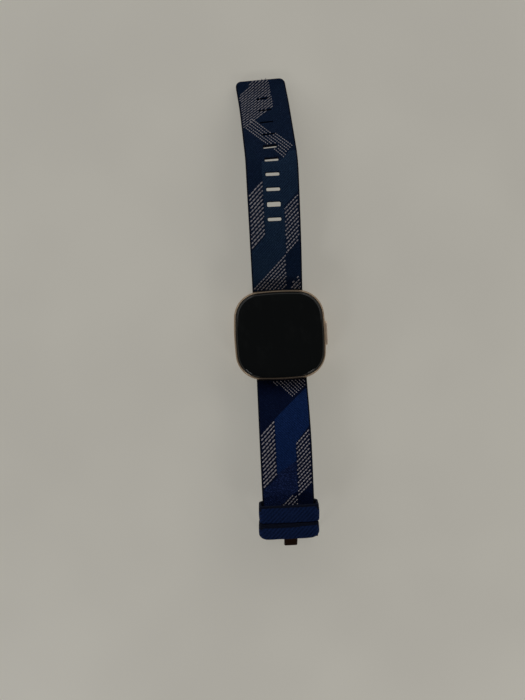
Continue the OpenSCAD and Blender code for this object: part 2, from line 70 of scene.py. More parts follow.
STRAP_W, STRAP_T, LINING_T = 22.4, 2.4, 1.0
HALF_T = STRAP_T / 2
SPLIT_N = LINING_T - HALF_T
FITTING_L = 3.2
TAIL_START = (17.6, 3.2, 21.0)
TAIL_RISE = [(13, 0), (22, -19), (16, 0), (12, -19)]
LAND_L, FLAT_L = 6.0, 1.0
BUCKLE_START = (17.6, 3.2, 26.0)
BUCKLE_BENDS = [(14, 0), (26, -31), (32.2, 0)]
BUCKLE_L = 72.2
BUCKLE_JOINT = 34.0
FIRST_SLOT, SLOT_PITCH, SLOT_COUNT = 33.9, 6.45, 10
SLOT_L, SLOT_W, WORN_SLOT_W, SHUT_SLOT_W = 5.8, 1.32, 1.95, 0.5
SLOT_CORNER = 0.5
TAIL_JOINTS = (FIRST_SLOT - SLOT_PITCH / 2, FIRST_SLOT + 4.5 * SLOT_PITCH)
LEANS = ((4.0, 54.0, 13.0), (2.6, 83.0, 12.0))  # sideways: degrees more, from where, over what length
TIP_CORNER, TIP_CUT, TIP_END = 2.6, 0.075, 0.45  # the end edge isn't quite square to the sides
TIP_SPARE = 1.6                    # cloth past the strap's length, for the tip's cutter to trim
STRETCH, STRETCH_S, STRETCH_REACH = 0.02, 56.0, 22.0  # worn cloth is a little wider round this place
BEND_REACH = 7.0                   # how far each side of a joint the start and end points are taken

KEEPER_W, KEEPER_T, KEEPER_TOP = 25.9, 1.1, HALF_T + 2.7
KEEPER_ARCH, KEEPER_BULGE, KEEPER_SINK = 0.28, 0.22, 0.15
SEWN_L, FREE_L, GAP = 6.9, 7.6, 0.3
WALL_STOP = 1.3                    # the sewn keeper's sides and underside end this far short of its top
SEWN_START = BUCKLE_L - 0.2 - SEWN_L
FREE_START = SEWN_START - GAP - FREE_L
BAR_R, NOTCH_W, NOTCH_L = 0.7, 6.4, 1.45
FRAME_L, FRAME_IN_W, FRAME_CORNER, FRAME_EYE_R = 10.75, 22.65, 2.6, 1.05
LEG_W, LEG_HALF_T, LEG_START, END_BAR_R, END_BAR_W = 0.9, 0.8, 0.9, 0.9, 1.62
TANG_L, TANG_W, TANG_HALF_T, TANG_END_R, TANG_EYE_R = 11.6, 5.6, 0.55, 0.9, 1.12
TANG_ANGLE, TANG_SHIFT = 49.6, 0.35
BLADE_WIDER, BLADE_SHIFT = 0.2, 0.15  # past its root the tang grows this much on each side and moves over


# -------- strap paths

def advance(p, stretch, s):
    """A place (y, z, heading in degrees) s further on along one evenly turning stretch."""
    y, z, heading = p
    length, turn = stretch
    a = math.radians(heading)
    if turn == 0:
        return (y + s * math.cos(a), z + s * math.sin(a), heading)
    r = length / math.radians(turn)
    b = a + math.radians(turn) * s / length
    return (y + r * (math.sin(b) - math.sin(a)), z - r * (math.cos(b) - math.cos(a)), math.degrees(b))


def along(start, bends, s):
    """A place (y, z, heading in degrees) s along a path of (length, turn) stretches."""
    p = start
    for i, stretch in enumerate(bends):
        if i == len(bends) - 1 or s <= stretch[0]:
            return advance(p, stretch, s)
        p = advance(p, stretch, stretch[0])
        s -= stretch[0]


def total(bends):
    return sum(b[0] for b in bends)


HUMP = along(TAIL_START, TAIL_RISE, total(TAIL_RISE))
LAND_TURN = math.radians(-HUMP[2])
LAND_DROP = LAND_L / LAND_TURN * (1 - math.cos(LAND_TURN))
FALL_L = (HUMP[1] - HALF_T - LAND_DROP) / math.sin(LAND_TURN)
TAIL_BENDS = TAIL_RISE + [(FALL_L, 0), (LAND_L, -HUMP[2]), (FLAT_L, 0)]
TAIL_L = total(TAIL_BENDS)


def smooth(t):
    """0 to 1 with soft ends."""
    t = min(max(t, 0.0), 1.0)
    return t * t * (3 - 2 * t)


def lean_at(s):
    """Sideways lean at s, in radians."""
    return math.radians(sum(more * smooth((s - start) / run) for more, start, run in LEANS))


LEAN_STEP = 0.25


def lean_path():
    """Where the middle of the tail strap runs, seen from above, as (x, y) at every LEAN_STEP."""
    x, y = 0.0, TAIL_START[0]
    spots = [(x, y)]
    for i in range(int(TAIL_L / LEAN_STEP) + 12):
        here, after = (along(TAIL_START, TAIL_BENDS, k * LEAN_STEP)[0] for k in (i, i + 1))
        lean = lean_at((i + 0.5) * LEAN_STEP)
        x, y = x - (after - here) * math.sin(lean), y + (after - here) * math.cos(lean)
        spots.append((x, y))
    return spots


LEAN_SPOTS = lean_path()


def in_mm(x, y, z):
    return Vector((x, y, z)) * MM


def tail_point(u, s, n):
    """Strap coordinates (across, along, outwards) in mm to a point in metres, on the tail strap."""
    _, z, heading = along(TAIL_START, TAIL_BENDS, s)
    a = math.radians(heading)
    k = min(max(int(s / LEAN_STEP), 0), len(LEAN_SPOTS) - 2)
    t = s / LEAN_STEP - k
    (x0, y0), (x1, y1) = LEAN_SPOTS[k:k + 2]
    lean = lean_at(s)
    u *= 1 + STRETCH * math.exp(-((s - STRETCH_S) / STRETCH_REACH) ** 2)
    back = n * math.sin(a)
    return in_mm(x0 + (x1 - x0) * t + u * math.cos(lean) + back * math.sin(lean),
                 y0 + (y1 - y0) * t + u * math.sin(lean) - back * math.cos(lean), z + n * math.cos(a))


def buckle_point(u, s, n):
    """The same on the buckle strap, which runs towards -Y."""
    y, z, heading = along(BUCKLE_START, BUCKLE_BENDS, s)
    a = math.radians(heading)
    return in_mm(u, -(y - n * math.sin(a)), z + n * math.cos(a))


# -------- material building blocks

class Shader:
    """A Principled material with short calls for the nodes around it."""

    def __init__(self, name, colour=(0.5, 0.5, 0.5), rough=0.5, metal=0.0):
        self.mat = bpy.data.materials.new(name)
        self.mat.use_nodes = True
        self.tree = self.mat.node_tree
        self.bsdf = self.tree.nodes["Principled BSDF"]
        self.set("Base Color", (*colour, 1))
        self.set("Roughness", rough)
        self.set("Metallic", metal)
        self.mat.diffuse_color = (*colour, 1)

    def set(self, socket, value):
        self.bsdf.inputs[socket].default_value = value

    def link(self, socket, output):
        self.tree.links.new(output, self.bsdf.inputs[socket])

    def node(self, kind, inputs=(), **props):
        """A new node with its properties and inputs. An input is a value or another node's output."""
        n = self.tree.nodes.new(kind)
        for k, v in props.items():
            setattr(n, k, v)
        for socket, v in dict(inputs).items():
            if hasattr(v, "is_output"):
                self.tree.links.new(v, n.inputs[socket])
            else:
                n.inputs[socket].default_value = v
        return n

    def math(self, op, a, b=0.0, clamp=False):
        return self.node("ShaderNodeMath", enumerate((a, b)), operation=op, use_clamp=clamp).outputs[0]

    def span(self, value, lo, hi, out_lo=0.0, out_hi=1.0):
        """value from lo to hi turned into out_lo to out_hi, with soft ends."""
        return self.node("ShaderNodeMapRange", enumerate((value, lo, hi, out_lo, out_hi)), clamp=True,
                         interpolation_type="SMOOTHSTEP").outputs[0]

    def mix(self, fac, a, b):
        a, b = ((*v, 1) if isinstance(v, tuple) else v for v in (a, b))
        return self.node("ShaderNodeMix", {"Factor": fac, "A": a, "B": b}, data_type="RGBA").outputs["Result"]

    def object_mm(self):
        """The object's own coordinates, in millimetres."""
        own = self.node("ShaderNodeTexCoord").outputs["Object"]
        return self.node("ShaderNodeVectorMath", {0: own, "Scale": 1 / MM}, operation="SCALE").outputs[0]

    def flat(self):
        """The cloth's own coordinates in millimetres: across, along, outwards."""
        return self.node("ShaderNodeAttribute", attribute_name="flat").outputs["Vector"]

    def axes(self, vector):
        return self.node("ShaderNodeSeparateXYZ", {0: vector}).outputs

    def scaled(self, vector, scale):
        return self.node("ShaderNodeVectorMath", {0: vector, 1: scale}, operation="MULTIPLY").outputs[0]

    def noise(self, vector, scale, detail=3.0, rough=0.55):
        inputs = {"Vector": vector, "Scale": scale, "Detail": detail, "Roughness": rough}
        return self.node("ShaderNodeTexNoise", inputs).outputs["Fac"]

    def bump(self, height, distance_mm):
        n = self.node("ShaderNodeBump", {"Distance": distance_mm * MM, "Height": height})
        self.link("Normal", n.outputs[0])

    def wear(self, lo, hi):
        """0 on flat faces, 1 on edges."""
        n = self.node("ShaderNodeNewGeometry")
        return self.span(n.outputs["Pointiness"], 0.5 + lo, 0.5 + hi)


THREAD_PITCH = 0.34


def weave(sh, twill_angle, twill_pitch):
    """Height of the cloth, a 0 to 1 twill mask and the single threads, from the cloth's own coordinates."""
    x, y, _ = sh.axes(sh.flat())
    wobble = sh.math("MULTIPLY", sh.math("SUBTRACT", sh.noise(sh.flat(), 0.6, 2.0), 0.5), 0.35)
    xs = sh.math("ADD", x, wobble)
    ys = sh.math("ADD", y, wobble)
    k = math.pi / THREAD_PITCH
    warp = sh.math("ABSOLUTE", sh.math("SINE", sh.math("MULTIPLY", xs, k)))
    weft = sh.math("ABSOLUTE", sh.math("SINE", sh.math("MULTIPLY", ys, k)))
    a = math.radians(twill_angle)
    kt = 2 * math.pi / twill_pitch
    diag = sh.math("ADD", sh.math("MULTIPLY", xs, kt * math.cos(a)),
                   sh.math("MULTIPLY", ys, kt * math.sin(a)))
    mask = sh.span(sh.math("SINE", diag), -0.35, 0.45)
    over = sh.math("MULTIPLY", warp, mask)
    under = sh.math("MULTIPLY", weft, sh.math("SUBTRACT", 1.0, mask))
    threads = sh.math("ADD", over, sh.math("MULTIPLY", under, 0.8))
    height = sh.math("ADD", threads, sh.math("MULTIPLY", mask, 0.9))
    return height, mask, threads


def cloth(name, deep, light, twill_angle, twill_pitch, contrast, sheen=0.02, bump=0.09, flecks=0.3):
    """Twill in two blues along its diagonals, darker between its threads as painted shade and lighter on
    them, with worn patches and pale flecks.
    """
    sh = Shader(name, light, 0.85)
    height, mask, threads = weave(sh, twill_angle, twill_pitch)
    # colour follows the twill's two yarn colours and the threads' height: the darkening between threads is
    # painted shade
    twill_and_gap_shade = sh.math("ADD", sh.math("MULTIPLY", mask, 0.65), sh.math("MULTIPLY", threads, 0.35))
    base = sh.mix(sh.math("MULTIPLY", twill_and_gap_shade, contrast, clamp=True), deep, light)
    patch = sh.span(sh.noise(sh.flat(), 0.2, 4.0), 0.3, 0.7, 0.0, 0.6)
    fuzz = sh.span(sh.noise(sh.flat(), 1.9, 2.0), 0.5, 0.68, 0.0, flecks)
    dusty = tuple(min(1.0, c * 1.8 + 0.012) for c in light)
    base = sh.mix(patch, base, tuple(c * 0.72 for c in light))
    base = sh.mix(fuzz, base, dusty)
    sh.link("Base Color", base)
    sh.link("Roughness", sh.span(threads, 0.0, 1.0, 0.95, 0.66))
    sh.set("Specular IOR Level", 0.03)
    sh.set("Sheen Weight", sheen)
    sh.set("Sheen Roughness", 0.5)
    sh.set("Sheen Tint", (0.35, 0.5, 0.9, 1))
    sh.bump(height, bump)
    return sh.mat


def thread_material():
    """Pale yarn of the raised floats, with fine plies and a little soil."""
    sh = Shader("pale_thread", (0.30, 0.27, 0.29), 0.62)
    plies = sh.noise(sh.flat(), 11.0, 3.0, 0.6)
    soil = sh.span(sh.noise(sh.flat(), 0.22, 3.0), 0.35, 0.7)
    base = sh.mix(sh.span(plies, 0.3, 0.7), (0.36, 0.335, 0.37), (0.70, 0.655, 0.68))
    base = sh.mix(sh.math("MULTIPLY", soil, 0.4), base, (0.30, 0.285, 0.35))
    sh.link("Base Color", base)
    sh.link("Roughness", sh.span(plies, 0.2, 0.8, 0.75, 0.5))
    sh.set("Sheen Weight", 0.05)
    sh.set("Specular IOR Level", 0.3)
    sh.bump(plies, 0.05)
    return sh.mat


def anodised(name, colour, rough, glancing=1.0):
    """Bead-blasted, dyed aluminium with slightly brighter, smoother edges. A lower glancing dulls what it
    mirrors at a flat angle."""
    sh = Shader(name, colour, rough, 1.0)
    mm = sh.object_mm()
    grain = sh.noise(mm, 14.0, 3.0)
    cloud = sh.noise(mm, 0.25, 3.0)
    edge = sh.wear(0.02, 0.10)
    base = sh.mix(sh.span(cloud, 0.3, 0.7, 0.0, 0.3), colour, tuple(c * 0.86 for c in colour))
    base = sh.mix(sh.math("MULTIPLY", edge, 0.45), base, tuple(min(1, c * 1.25) for c in colour))
    sh.link("Base Color", base)
    rough_mix = sh.math("ADD", sh.span(grain, 0.25, 0.75, rough - 0.05, rough + 0.08),
                        sh.math("MULTIPLY", edge, -0.08))
    sh.link("Roughness", rough_mix)
    sh.set("Specular Tint", (glancing, glancing * 0.9, glancing * 0.85, 1))
    sh.bump(grain, 0.006)
    return sh.mat


def steel_material():
    sh = Shader("turned_steel", (0.56, 0.56, 0.57), 0.28, 1.0)
    mm = sh.object_mm()
    rings = sh.noise(sh.scaled(mm, (9.0, 0.4, 0.4)), 2.0, 3.0)
    sh.link("Base Color", sh.mix(sh.span(rings, 0.3, 0.7), (0.48, 0.48, 0.49), (0.66, 0.66, 0.66)))
    sh.link("Roughness", sh.span(rings, 0.3, 0.7, 0.22, 0.4))
    sh.bump(rings, 0.004)
    return sh.mat


def moulded(name, colour, rough, grain=0.02, scale=5.0):
    """Fine-grained moulded plastic or rubber with a few handling marks."""
    sh = Shader(name, colour, rough)
    mm = sh.object_mm()
    fine = sh.noise(mm, scale, 4.0)
    marks = sh.noise(sh.scaled(mm, (1.0, 0.25, 1.0)), 0.9, 5.0, 0.7)
    light = tuple(min(1.0, c * 1.6 + 0.006) for c in colour)
    sh.link("Base Color", sh.mix(sh.span(marks, 0.45, 0.75, 0.0, 0.55), colour, light))
    sh.link("Roughness", sh.span(fine, 0.3, 0.7, rough - 0.08, rough + 0.1))
    sh.bump(fine, grain)
    return sh.mat


def glass_material():
    """Black and polished, with faint finger marks and dust."""
    sh = Shader("black_crystal", (0.0035, 0.0038, 0.0042), 0.04)
    mm = sh.object_mm()
    smear = sh.noise(sh.scaled(mm, (1.0, 0.45, 1.0)), 0.22, 5.0, 0.65)
    dust = sh.noise(mm, 6.0, 2.0)
    sh.link("Roughness", sh.math("ADD", sh.span(smear, 0.5, 0.72, 0.03, 0.11),
                                 sh.span(dust, 0.72, 0.8, 0.0, 0.12)))
    sh.link("Base Color", sh.mix(sh.span(smear, 0.5, 0.75), (0.0090, 0.0102, 0.0102),
                                 (0.0125, 0.0138, 0.0136)))
    sh.set("IOR", 1.5)
    sh.set("Specular IOR Level", 0.26)
    return sh.mat


def sensor_glass_material():
    sh = Shader("sensor_crystal", (0.015, 0.018, 0.02), 0.06)
    mm = sh.object_mm()
    sh.link("Roughness", sh.span(sh.noise(mm, 0.6, 4.0), 0.4, 0.7, 0.04, 0.12))
    sh.set("Transmission Weight", 0.55)
    sh.set("IOR", 1.5)
    return sh.mat


def board_material():
    """Solder mask over faint copper tracks."""
    sh = Shader("solder_mask", (0.012, 0.085, 0.05), 0.35)
    mm = sh.object_mm()
    x, y, _ = sh.axes(mm)
    tracks = sh.math("MULTIPLY", sh.math("SINE", sh.math("MULTIPLY", x, 5.2)),
                     sh.math("SINE", sh.math("MULTIPLY", y, 3.7)))
    fac = sh.span(tracks, 0.2, 0.5)
    sh.link("Base Color", sh.mix(fac, (0.010, 0.075, 0.045), (0.03, 0.15, 0.075)))
    sh.link("Roughness", sh.span(sh.noise(mm, 3.0), 0.3, 0.7, 0.28, 0.45))
    sh.bump(fac, 0.02)
    return sh.mat


def flecked(name, colour, other, rough, metal=0.0, scale=4.0, bump=0.01):
    """A plain material whose colour and gloss vary a little in fine flecks."""
    sh = Shader(name, colour, rough, metal)
    f = sh.noise(sh.object_mm(), scale, 4.0)
    sh.link("Base Color", sh.mix(sh.span(f, 0.35, 0.65), colour, other))
    sh.link("Roughness", sh.span(f, 0.3, 0.7, max(0.02, rough - 0.07), rough + 0.07))
    sh.bump(f, bump)
    return sh.mat


NAVY = (0.0056, 0.0135, 0.054)
NAVY_DEEP = (0.0026, 0.0062, 0.026)
MID = (0.0112, 0.0400, 0.165)
MID_DEEP = (0.0036, 0.0120, 0.056)
COPPER = (0.41, 0.315, 0.225)

# the record's material slots and a few more
MATS = {
    "woven_face": cloth("navy_weave", NAVY_DEEP, NAVY, 135, 0.8, 0.8),
    "mid": cloth("blue_weave", MID_DEEP, MID, 135, 0.8, 1.0),
    "tail_navy": cloth("tail_navy_weave", (0.0052, 0.0098, 0.034), (0.0132, 0.0325, 0.078), 135, 0.8, 0.9),
    "tail_mid": cloth("tail_blue_weave", (0.0075, 0.0165, 0.048), (0.0262, 0.0600, 0.120), 135, 0.8, 1.0),
    "flecked": cloth("flecked_weave", NAVY_DEEP, (0.0128, 0.0268, 0.104), 135, 0.8, 1.0, flecks=1.0),
    "edge": cloth("edge_binding", (0.0052, 0.0068, 0.015), (0.0105, 0.0137, 0.030), 90, 0.6, 0.8, 0.02, 0.05),
    "strap_lining": cloth("lining_weave", (0.0022, 0.003, 0.008), (0.006, 0.008, 0.019), 45, 0.7, 0.9, 0.03,
                          0.05),
    "keeper_fabric": cloth("keeper_twill", (0.0036, 0.0092, 0.034), (0.0135, 0.0325, 0.120), 135, 1.35, 1.0,
                           0.03, 0.12),
    # the buckle's copper is painted far darker than the rim's: painted shade, for metal that hangs in shadow
    # and mirrors dark surroundings
    "buckle_metal": anodised("shaded_copper_buckle", (0.0350, 0.0280, 0.0235), 0.46, 0.41),
    "thread": thread_material(),
    "rim_metal": anodised("copper_rim", COPPER, 0.34),
    # the button's copper is painted much paler than the rim's: painted light, so that its top looks lit
    "button": anodised("lit_satin_copper_button", (0.93, 0.80, 0.67), 0.7),
    "black_glass": glass_material(),
    "sensor_glass": sensor_glass_material(),
    "steel": steel_material(),
    "dark_plastic": moulded("moulded_plastic", (0.018, 0.0185, 0.02), 0.5),
    "black_rubber": moulded("black_rubber", (0.010, 0.010, 0.010), 0.8, 0.03, 3.0),
    "circuit_board": board_material(),
    "chip_black": flecked("chip_resin", (0.02, 0.02, 0.021), (0.035, 0.035, 0.036), 0.5),
    "flex_amber": flecked("amber_film", (0.50, 0.25, 0.05), (0.42, 0.2, 0.04), 0.25),
    "antenna_ceramic": flecked("fired_ceramic", (0.70, 0.66, 0.56), (0.62, 0.58, 0.48), 0.6),
    "cell_foil": flecked("cell_foil", (0.44, 0.45, 0.47), (0.36, 0.37, 0.39), 0.35, 0.9, 1.2, 0.05),
    "screen": flecked("dark_screen", (0.006, 0.006, 0.007), (0.008, 0.008, 0.010), 0.15),
    "led_resin": flecked("clear_resin", (0.66, 0.70, 0.60), (0.58, 0.62, 0.5), 0.2),
    "gold": flecked("gold_plate", (0.80, 0.58, 0.25), (0.70, 0.50, 0.21), 0.22, 1.0),
}

for part in frame["record"]["subparts"]:
    for material_slot in frame["nodes"][part["node"]].material_slots:
        material_slot.link = "OBJECT"
        material_slot.material = MATS[part["material_slot"]]


# -------- mesh building blocks

def add_piece(name, bm, mats):
    bmesh.ops.recalc_face_normals(bm, faces=bm.faces)
    mesh = bpy.data.meshes.new(name)
    bm.to_mesh(mesh)
    bm.free()
    for m in mats:
        mesh.materials.append(MATS[m])
    mesh.shade_smooth()
    ob = bpy.data.objects.new(name, mesh)
    scene.collection.objects.link(ob)
    return ob


@contextlib.contextmanager
def mesh_of(ob):
    """An object's mesh to work on, written back afterwards."""
    bm = bmesh.new()
    bm.from_mesh(ob.data)
    yield bm
    bm.to_mesh(ob.data)
    bm.free()


def settle(ob):
    """Applies an object's modifiers to its mesh."""
    depsgraph = bpy.context.evaluated_depsgraph_get()
    mesh = bpy.data.meshes.new_from_object(ob.evaluated_get(depsgraph))
    old = ob.data
    ob.modifiers.clear()
    ob.data = mesh
    bpy.data.meshes.remove(old)
    return ob


def carve(ob, cutters):
    """Takes each cutter's shape away from ob, and removes the cutters."""
    for c in cutters:
        m = ob.modifiers.new("cut", "BOOLEAN")
        m.operation, m.solver, m.object = "DIFFERENCE", "EXACT", c
        settle(ob)
        bpy.data.objects.remove(c)
    return ob


def bevelled(ob, width_mm, segments):
    m = ob.modifiers.new("soft_edge", "BEVEL")
    m.width = width_mm * MM
    m.segments = segments
    m.limit_method = "ANGLE"
    m.angle_limit = math.radians(40)


def sharp_above(ob, angle):
    """Smooth shading except where faces meet at more than angle degrees."""
    ob.data.shade_smooth()
    ob.data.set_sharp_from_angle(angle=math.radians(angle))
    return ob


def skin(bm, rings, first=True, last=True, joined=False):
    """Faces between successive rings of vertices. The first and last rings are filled, or joined."""
    for a, b in zip(rings, rings[1:] + (rings[:1] if joined else [])):
        for i in range(len(a)):
            j = (i + 1) % len(a)
            bm.faces.new((a[i], a[j], b[j], b[i]))
    if first and not joined:
        bm.faces.new(list(reversed(rings[0])))
    if last and not joined:
        bm.faces.new(rings[-1])


def loop_skin(bm, loops):
    skin(bm, [[bm.verts.new(p) for p in loop] for loop in loops])


def solid(name, loops, mats):
    bm = bmesh.new()
    loop_skin(bm, loops)
    return add_piece(name, bm, mats)


def cutter(outline, ends, place):
    """A prism to carve with. place(a, b, end) puts a point of its outline at one of its two ends."""
    return solid("cutter", [[place(a, b, end) for a, b in outline] for end in ends], [])


def arc(x, y, r, start, turn, steps, last=True):
    """Points round (x, y) from start through turn, in degrees, with or without the last one."""
    return [(x + r * math.cos(a), y + r * math.sin(a))
            for a in (math.radians(start + turn * i / steps) for i in range(steps + last))]


def rounded_rect(w, h, r, per_corner, y0=0.0):
    """Points of a rounded rectangle, anticlockwise, with its middle at (0, y0)."""
    points = []
    for k, (sx, sy) in enumerate(((1, 1), (-1, 1), (-1, -1), (1, -1))):
        points += arc(sx * (w / 2 - r), y0 + sy * (h / 2 - r), r, 90 * k, 90, per_corner)
    return points


def soft_square(inset, per_corner=22, per_side=14):
    """The case's outline: four bowed sides and four corners that meet in the same direction."""
    a, r, big = CASE_W / 2 - inset, CORNER_R - inset, BOW_R - inset
    turn = math.radians(45) - math.asin((big - a) / (math.sqrt(2) * (big - r)))
    c = (big - r) * math.sin(turn)
    side = [(a - big + big * math.cos(t), big * math.sin(t))
            for t in (turn * (2 * i / per_side - 1) for i in range(per_side))]
    corner = [(c + r * math.cos(t), c + r * math.sin(t))
              for t in (turn + (math.pi / 2 - 2 * turn) * i / per_corner for i in range(per_corner))]
    quarter = side + corner
    points = []
    for k in range(4):
        for x, y in quarter:
            for _ in range(k):
                x, y = -y, x
            points.append((x, y * CASE_L / CASE_W))
    return points


def stack(levels):
    """Loops in metres through (height, inset) levels of the case's outline."""
    return [[in_mm(x, y, z) for x, y in soft_square(inset)] for z, inset in levels]


def curve_levels(points, steps=3):
    """Catmull-Rom through (height, inset) levels."""
    out = []
    padded = [points[0]] + list(points) + [points[-1]]
    for i in range(1, len(padded) - 2):
        p0, p1, p2, p3 = (np.array(padded[i + k], float) for k in (-1, 0, 1, 2))
        for j in range(steps):
            t = j / steps
            out.append(tuple(0.5 * ((2 * p1) + (p2 - p0) * t + (2 * p0 - 5 * p1 + 4 * p2 - p3) * t * t
                                    + (3 * p1 - p0 - 3 * p2 + p3) * t ** 3)))
    return out + [tuple(points[-1])]


# -------- case

def make_case():
    outside = curve_levels([(1.2, 2.6), (1.55, 1.95), (2.2, 1.2), (3.0, 0.65), (3.8, 0.3), (4.7, 0.08),
                            (5.6, 0.0), (7.2, 0.0), (8.8, 0.0), (9.45, 0.1), (9.9, 0.3), (10.22, 0.52),
                            (10.37, 0.72), (RIM_Z, 0.86)])
    seat = [(RIM_Z, 1.02), (10.34, 1.1), (9.95, 1.1), (9.9, 1.9)]
    case = solid("case_shell", stack(outside + seat), ["rim_metal"])
    lug = rounded_rect(LUG_W, 2 * LUG_ROOF, LUG_CORNER, 4)
    cutters = [cutter(lug, sorted((side * LUG_Y, side * (CASE_L / 2 + 3))), lambda x, z, y: in_mm(x, y, z))
               for side in (-1, 1)]
    cutters.append(cutter(rounded_rect(BACK_W, BACK_L, BACK_CORNER, 8), (-1, BACK_TOP), in_mm))
    pocket_w, pocket_h = BUTTON_L + 2 * POCKET_ROOM, BUTTON_H + 2 * POCKET_ROOM
    pocket = rounded_rect(pocket_w, pocket_h, pocket_h / 2, 8)
    cutters.append(cutter(pocket, (POCKET_X, 24), lambda y, z, x: in_mm(x, y, z + BUTTON_Z)))
    carve(case, cutters)
    bevelled(case, 0.14, 2)
    settle(case)
    sharp_above(case, 32)
    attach(case, "case")
    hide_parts("case_body")


def make_glass():
    levels = curve_levels([(GLASS_Z, 1.2), (10.35, 1.16), (10.7, 1.2), (11.05, 1.36), (11.35, 1.62),
                           (11.6, 2.0), (11.8, 2.55), (11.95, 3.3), (12.04, 4.2), (12.085, 5.2),
                           (GLASS_TOP, 6.4)])
    ob = solid("crystal", stack(levels), ["black_glass"])
    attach(ob, "case")
    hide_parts("cover_glass")


def make_button():
    """A pill-shaped cap with a softly crowned face, and its stem."""
    x_out = CASE_W / 2 + BUTTON_OUT
    x_in = x_out - BUTTON_OUT - 0.3
    levels = [(x_in, 0.12), (x_in + 0.08, 0.02), (x_in + 0.2, 0.0), (x_out - 0.42, 0.0), (x_out - 0.26, 0.05),
              (x_out - 0.14, 0.16), (x_out - 0.07, 0.32), (x_out - 0.03, 0.6), (x_out, 1.1)]
    loops = []
    for x, inset in levels:
        pts = rounded_rect(BUTTON_L - 2 * inset, BUTTON_H - 2 * inset, BUTTON_H / 2 - inset, 10)
        loops.append([in_mm(x, y, z + BUTTON_Z) for y, z in pts])
    bm = bmesh.new()
    loop_skin(bm, loops)
    stem = [(16.9, 0.74), (17.0, 0.8), (17.28, 0.8), (17.32, 0.56), (17.68, 0.56), (17.72, 0.8),
            (18.0, 0.8), (18.1, 0.8), (x_in + 0.05, 0.8)]
    loop_skin(bm, [[in_mm(x, y, z) for y, z in arc(0, BUTTON_Z, r, 0, 360, 24, False)] for x, r in stem])
    ob = add_piece("button_cap", bm, ["button"])
    sharp_above(ob, 40)
    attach(ob, "side_button")
    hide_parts("side_button")


# -------- strap cloth

EDGE_U = 10.55  # where the dark edge starts
BAND_U = 4.3    # where the pattern's three strips meet


def side_curve(w, r):
    """A cloth's rounded upper edge, from its side up, as (u, n)."""
    return [(w - r + r * math.cos(a), HALF_T - r + r * math.sin(a))
            for a in (math.radians(x) for x in (0, 22, 45, 68, 90))]


def face_section():
    """Side view across the woven face (u, n), anticlockwise, with rounded upper edges."""
    w, corner = STRAP_W / 2, 0.5
    across = [(u, HALF_T) for u in (EDGE_U, 9.4, 8.2, 7.0, 5.7, BAND_U, 2.9, 1.45) if u < w - corner - 0.01]
    half = [(w - 0.04, SPLIT_N), (w, SPLIT_N + 0.12)] + side_curve(w, corner) + across
    return half + [(0.0, HALF_T)] + [(-u, n) for u, n in reversed(half)]


def lining_section():
    """The same of the lining, with rounded lower edges."""
    w = STRAP_W / 2 - 0.1
    half = [(-(w - 0.1), SPLIT_N - 0.03), (-w, SPLIT_N - 0.15)] + [(-u, -n) for u, n in side_curve(w, 0.42)]
    half += [(-u, -HALF_T) for u in (9.0, 7.0, 5.0, 3.0, 1.5)]
    return half + [(0.0, -HALF_T)] + [(-u, n) for u, n in reversed(half)]


def flat_slab(name, section, s0, s1, step=0.9):
    """A slab of cloth in strap coordinates (u, s, n), in mm, closed at both ends."""
    count = max(2, round((s1 - s0) / step))
    loops = [[Vector((u, s0 + (s1 - s0) * i / count, n)) for u, n in section] for i in range(count + 1)]
    bm = bmesh.new()
    loop_skin(bm, loops)
    return add_piece(name, bm, [])


def slot_width(i):
    """The second slot is stretched by use and the last four have hardly been opened."""
    return WORN_SLOT_W if i == 1 else SHUT_SLOT_W if i > 5 else SLOT_W


def slot_cutters(s0, s1):
    """Cutters with a soft lip at the face, that widen downwards to the lining's larger opening."""
    out = []
    for i in range(SLOT_COUNT):
        s, w = FIRST_SLOT + i * SLOT_PITCH, slot_width(i)
        if not s0 < s < s1:
            continue
        loops = []
        below = 0.25 if w < 1 else 1.0
        for n, grow in ((-1.6, 0.95 * below), (-1.2, 0.85 * below), (-1.0, 0.75 * below),
                        (-0.21, 0.72 * below), (-0.19, 0.35 * below), (0.5, 0.05 * below), (0.75, 0.0),
                        (0.98, 0.05), (1.12, 0.14), (1.2, 0.25), (1.6, 0.35)):
            corner = min(SLOT_CORNER, w / 2 - 0.02) + grow
            pts = rounded_rect(SLOT_L + 2 * grow, w + 2 * grow, corner, 5, s)
            loops.append([Vector((x, y, n)) for x, y in pts])
        out.append(solid("cutter", loops, []))
    return out


def join(obs):
    """The first object, with the others' meshes added to its own."""
    with mesh_of(obs[0]) as bm:
        for o in obs[1:]:
            bm.from_mesh(o.data)
            bpy.data.objects.remove(o)
    return obs[0]


def through(outline):
    """A cutter, in a list, of an outline in strap coordinates; it goes right through the cloth."""
    return [cutter(outline, (-2.0, 2.0), lambda u, s, n: Vector((u, s, n)))]


def tip_cutter():
    """What lies outside the tip's rounded corners and its slightly askew end."""
    w, r, end, far = STRAP_W / 2, TIP_CORNER, TAIL_L + TIP_END, TAIL_L + 8
    corner = arc(w - r, end - r, r, 0, 90, 10)
    edge = [(w + 0.4, end - r)] + corner + [(-u, s) for u, s in reversed(corner)] + [(-w - 0.4, end - r)]
    return through([(u, s - TIP_CUT * u) for u, s in edge] + [(-w - 0.4, far), (w + 0.4, far)])


def notch_cutter():
    """Room for the tang in the buckle strap's end."""
    return through(rounded_rect(NOTCH_W, 2 * NOTCH_L, 0.5, 4, BUCKLE_L))


def split_along(ob, lines):
    """Adds edges along lines (u, s, du, ds) of the flat cloth, so that a colour can change there."""
    with mesh_of(ob) as bm:
        for u, s, du, ds in lines:
            bmesh.ops.bisect_plane(bm, geom=bm.verts[:] + bm.edges[:] + bm.faces[:], dist=1e-5,
                                   plane_co=Vector((u, s, 0)), plane_no=Vector((-ds, du, 0)).normalized())


def paint(ob, mats, choose):
    """Gives each face the material that choose(u, s, n, normal) names."""
    for m in mats:
        ob.data.materials.append(MATS[m])
    for f in ob.data.polygons:
        f.material_index = mats.index(choose(*f.center, f.normal))


